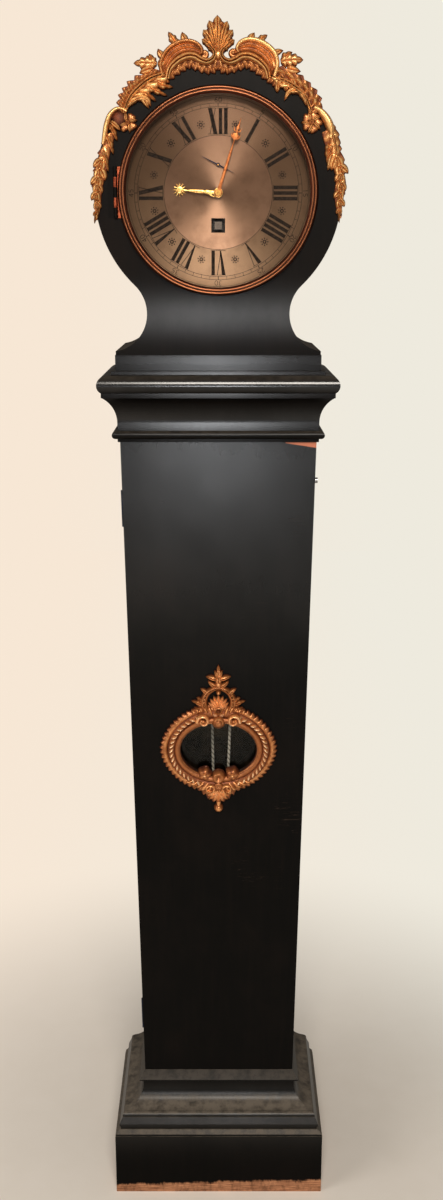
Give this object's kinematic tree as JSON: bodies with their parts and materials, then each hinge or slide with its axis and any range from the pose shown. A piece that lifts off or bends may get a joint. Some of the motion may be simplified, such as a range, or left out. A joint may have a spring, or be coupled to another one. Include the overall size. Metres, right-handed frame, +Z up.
{
  "type": "longcase regulator clock",
  "caption": "Tall weight-driven regulator clock: ebonised tapering case, round hood with gilt carving, silvered dial, carved oval lenticle and seconds pendulum.",
  "frame": {"origin": "middle of the case's footprint on the floor", "axes": "+Z up, dial faces -Y, +X to the right seen from the front"},
  "size_m": [0.3864, 0.248, 1.9945],
  "materials": {
    "ebonised_wood": "ebonised veneer, worn semi-gloss polish with fine cracks",
    "bare_wood": "unpolished softwood",
    "gilt_wood": "water gilding over red bole, rubbed on the high points",
    "gilt_metal": "gilt brass, slightly coppery",
    "brass": "satin brass",
    "bezel_copper": "lacquered red brass, polished",
    "silvered_dial": "tarnished silvering brushed in circles, dark wax in the engraving",
    "glass": "clear",
    "blued_steel": "blued",
    "steel": "bright",
    "gut": "twisted gut line"
  },
  "bodies": {
    "case": {"bottom_board": "bare_wood", "plinth": "ebonised_wood", "base_moulding": "ebonised_wood", "backboard": "bare_wood", "trunk_side_left": "ebonised_wood", "trunk_side_right": "ebonised_wood", "cornice": "ebonised_wood", "cheek_left": "bare_wood", "cheek_right": "bare_wood", "seatboard": "bare_wood", "trunk_hinge_leaves": "blued_steel", "dial_plate": "silvered_dial", "front_plate": "brass", "back_plate": "brass", "plate_pillars": "brass", "pillar_screws": "blued_steel", "seat_bolts": "steel", "pendulum_cock": "brass", "suspension_spring": "steel"},
    "trunk_door": {"trunk_door": "ebonised_wood", "door_hinge_leaves": "blued_steel", "lenticle_frame": "gilt_wood", "lenticle_glass": "glass"},
    "catch": {"catch_knob": "steel"},
    "hood": {"hood_front": "ebonised_wood", "hood_band": "ebonised_wood", "hood_foot": "ebonised_wood", "crest": "gilt_wood", "acanthus_left": "gilt_wood", "acanthus_right": "gilt_wood", "husk_drop_left": "gilt_wood", "husk_drop_right": "gilt_wood", "bezel_hinge_plate": "blued_steel"},
    "bezel": {"bezel_ring": "bezel_copper", "bezel_glass": "glass", "bezel_hinge_leaf": "bezel_copper"},
    "centre_arbor": {"centre_wheel": "brass", "cannon_pinion": "steel", "minute_hand": "gilt_metal", "hand_collet": "brass"},
    "great_wheel": {"great_wheel": "brass", "click": "steel"},
    "third_wheel": {"third_wheel": "brass"},
    "escape_wheel": {"escape_wheel": "brass", "seconds_hand": "blued_steel"},
    "minute_wheel": {"minute_wheel": "brass"},
    "hour_wheel": {"hour_wheel": "brass", "hour_hand": "gilt_metal"},
    "barrel": {"barrel": "brass", "line_coils": "gut"},
    "pallets": {"pallets": "steel"},
    "pendulum": {"pendulum_rod": "steel", "pendulum_bob": "brass", "rating_nut": "brass"},
    "weight": {"weight": "brass", "line_run_left": "gut", "line_run_right": "gut", "line_bight": "gut"},
    "pulley": {"pulley": "brass"}
  },
  "joints": [
    {"name": "trunk_door_hinge", "type": "hinge", "parent": "case", "child": "trunk_door", "pos_m": [-0.14605, -0.0568, 0.7995], "axis": [0.0177, 0, -0.9998], "range_deg": [0, 100]},
    {"name": "catch_turn", "type": "hinge", "parent": "case", "child": "catch", "pos_m": [0.147, -0.045, 1.311], "axis": [-1, 0, 0], "range_deg": [0, 90]},
    {"name": "hood_slide", "type": "slide", "parent": "case", "child": "hood", "axis": [0, -1, 0], "range_m": [0, 0.26]},
    {"name": "bezel_hinge", "type": "hinge", "parent": "hood", "child": "bezel", "pos_m": [-0.1535, -0.0783, 1.7515], "axis": [0, 0, -1], "range_deg": [0, 88]},
    {"name": "centre_spin", "type": "hinge", "parent": "case", "child": "centre_arbor", "pos_m": [0, -0.03, 1.7515], "axis": [0, 1, 0], "continuous": true},
    {"name": "great_spin", "type": "hinge", "parent": "case", "child": "great_wheel", "pos_m": [0, 0.0075, 1.7047], "axis": [0, 1, 0], "continuous": true},
    {"name": "third_spin", "type": "hinge", "parent": "case", "child": "third_wheel", "pos_m": [0.01699, -0.01, 1.77248], "axis": [0, 1, 0], "continuous": true},
    {"name": "escape_spin", "type": "hinge", "parent": "case", "child": "escape_wheel", "pos_m": [0, -0.02, 1.7915], "axis": [0, 1, 0], "continuous": true},
    {"name": "minute_wheel_spin", "type": "hinge", "parent": "case", "child": "minute_wheel", "pos_m": [-0.01273, -0.042, 1.73877], "axis": [0, 1, 0], "continuous": true},
    {"name": "hour_spin", "type": "hinge", "parent": "case", "child": "hour_wheel", "pos_m": [0, -0.05, 1.7515], "axis": [0, 1, 0], "continuous": true},
    {"name": "pendulum_swing", "type": "hinge", "parent": "case", "child": "pendulum", "pos_m": [0, 0.028, 1.8375], "axis": [0, 1, 0], "range_deg": [-2, 2]},
    {"name": "pallet_rock", "type": "hinge", "parent": "case", "child": "pallets", "pos_m": [0, 0, 1.8375], "axis": [0, 1, 0], "range_deg": [-2, 2]},
    {"name": "weight_travel", "type": "slide", "parent": "case", "child": "weight", "axis": [0, 0, 1], "range_m": [-0.5, 0.8], "deforming": ["line_run_left", "line_run_right"]},
    {"name": "barrel_spin", "type": "hinge", "parent": "case", "child": "barrel", "pos_m": [0, -0.01, 1.7047], "axis": [0, 1, 0], "range_deg": [-2180, 3480]},
    {"name": "pulley_spin", "type": "hinge", "parent": "weight", "child": "pulley", "pos_m": [0.0028, -0.022, 0.7455], "axis": [0.8141, 0.5807, 0], "range_deg": [-1435, 2295]}
  ],
  "couplings": [
    {"joint": "great_spin", "follows": "centre_spin", "ratio": -0.083333},
    {"joint": "third_spin", "follows": "centre_spin", "ratio": -8},
    {"joint": "escape_spin", "follows": "centre_spin", "ratio": 60},
    {"joint": "minute_wheel_spin", "follows": "centre_spin", "ratio": -0.33333},
    {"joint": "hour_spin", "follows": "centre_spin", "ratio": 0.083333},
    {"joint": "pallet_rock", "follows": "pendulum_swing", "ratio": 1},
    {"joint": "barrel_spin", "follows": "weight_travel", "rad_per_m": 75.758},
    {"joint": "pulley_spin", "follows": "weight_travel", "rad_per_m": 50}
  ]
}
